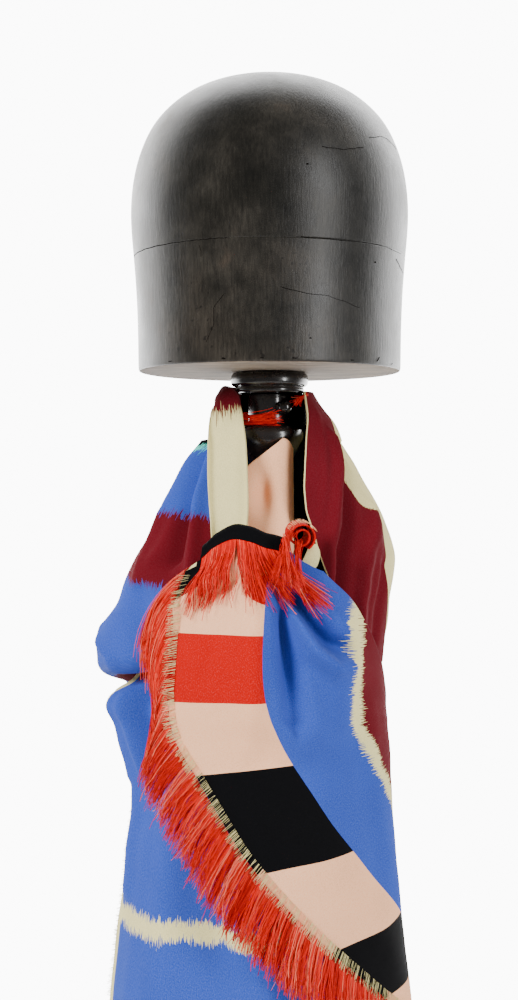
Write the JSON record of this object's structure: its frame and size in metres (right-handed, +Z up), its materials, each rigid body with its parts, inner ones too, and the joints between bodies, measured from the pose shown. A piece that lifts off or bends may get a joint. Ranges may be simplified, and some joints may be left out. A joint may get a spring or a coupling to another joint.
{
  "type": "fringed scarf on a hat block stand",
  "caption": "Large woven scarf with a red fringe, wound round the neck of a wooden hat block on a turned stand, its two ends hanging in front and at the sides.",
  "frame": {"origin": "on the floor under the middle of the stand's post, the centre of the base's underside", "axes": "+Z up along the post, -Y towards a viewer in front of the scarf's rolled neckline, +X to that viewer's right"},
  "size_m": [0.3, 0.3, 0.9265],
  "materials": {
    "dark_wood": "old dark waxed wood, worn satin",
    "black_lacquer": "turned wood in black lacquer, glossy",
    "blue_wool": "fine woven wool, soft matte",
    "maroon_wool": "fine woven wool, soft matte",
    "olive_wool": "fine woven wool, soft matte",
    "blush_wool": "fine woven wool, soft matte",
    "black_wool": "fine woven wool, soft matte",
    "red_fringe": "loose silky warp threads"
  },
  "bodies": {
    "root": {"hat_block": "dark_wood", "block_collar": "black_lacquer", "stand_post": "black_lacquer", "stand_base": "dark_wood", "screw_knob": "black_lacquer", "back_loop": "blue_wool", "right_strand": "maroon_wool", "left_strand": "olive_wool", "neck_wrap": "maroon_wool", "inner_fold": "blush_wool", "front_tail": "blue_wool", "under_tail": "blue_wool", "rolled_neckline": "black_wool", "rolled_corner": "red_fringe", "corner_tip": "olive_wool", "fringe_edge": "red_fringe", "fringe_neckline": "red_fringe", "fringe_hem": "red_fringe"}
  },
  "joints": []
}
